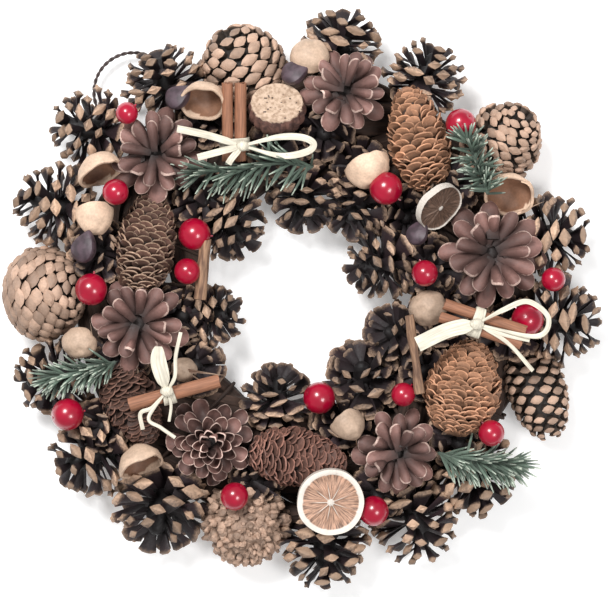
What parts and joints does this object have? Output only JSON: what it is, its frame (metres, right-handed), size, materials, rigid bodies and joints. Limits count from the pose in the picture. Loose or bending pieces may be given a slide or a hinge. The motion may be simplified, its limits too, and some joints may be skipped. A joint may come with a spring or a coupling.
{
  "type": "dried fruit wreath",
  "caption": "Round dried wreath of pine cones, red berries, cinnamon sticks with raffia bows, citrus slices, shells and needle sprigs on a flat-backed vine ring with a hanging loop.",
  "frame": {"origin": "middle of the wreath's footprint, on the surface that its flat back rests on", "axes": "+Z out of the decorated face, along the ring's own axis; +Y towards the top of the wreath as it is seen from the front, with the hanging loop at the upper left (-X, +Y)"},
  "size_m": [0.3002, 0.2924, 0.0684],
  "materials": {
    "vine": "rough bark",
    "wire": "dull brown, twisted",
    "raffia": "dry split fibre, slightly shiny",
    "berry": "glossy lacquered crimson",
    "cinnamon": "dry matt bark",
    "citrus": "dried rind and flesh",
    "pod": "pale pitted cut face, dark ridged side",
    "cup": "smooth pale shell",
    "flower_cone": "red-brown scales with pale rims",
    "long_cone": "brown scales, dull",
    "closed_cone": "pale tan scales",
    "open_cone": "dark scales with pale tips",
    "needle": "grey-green, dull"
  },
  "bodies": {
    "root": {"hanger_loop": "wire", "base_ring": "vine", "raffia_bow_1": "raffia", "raffia_bow_2": "raffia", "raffia_bow_3": "raffia", "berry_1": "berry", "berry_2": "berry", "berry_3": "berry", "berry_4": "berry", "berry_5": "berry", "cinnamon_bundle_1": "cinnamon", "cinnamon_bundle_2": "cinnamon", "cinnamon_bundle_3": "cinnamon", "citrus_slice_1": "citrus", "citrus_slice_2": "citrus", "cut_pod": "pod", "cup_1": "cup", "cup_2": "cup", "cup_3": "cup", "cup_4": "cup", "flower_cone_1": "flower_cone", "flower_cone_2": "flower_cone", "flower_cone_3": "flower_cone", "flower_cone_4": "flower_cone", "flower_cone_5": "flower_cone", "flower_cone_6": "flower_cone", "long_cone_1": "long_cone", "long_cone_2": "long_cone", "long_cone_3": "long_cone", "long_cone_4": "long_cone", "long_cone_5": "long_cone", "closed_cone_1": "closed_cone", "closed_cone_2": "closed_cone", "closed_cone_3": "closed_cone", "closed_cone_4": "closed_cone", "closed_cone_5": "closed_cone", "open_cone_1": "open_cone", "open_cone_2": "open_cone", "open_cone_3": "open_cone", "open_cone_4": "open_cone", "open_cone_5": "open_cone", "open_cone_6": "open_cone", "open_cone_7": "open_cone", "open_cone_8": "open_cone", "open_cone_9": "open_cone", "open_cone_10": "open_cone", "open_cone_11": "open_cone", "open_cone_12": "open_cone", "open_cone_13": "open_cone", "open_cone_14": "open_cone", "open_cone_15": "open_cone", "open_cone_16": "open_cone", "open_cone_17": "open_cone", "open_cone_18": "open_cone", "open_cone_19": "open_cone", "open_cone_20": "open_cone", "sprig_1": "needle", "sprig_2": "needle", "sprig_3": "needle", "sprig_4": "needle"}
  },
  "joints": []
}
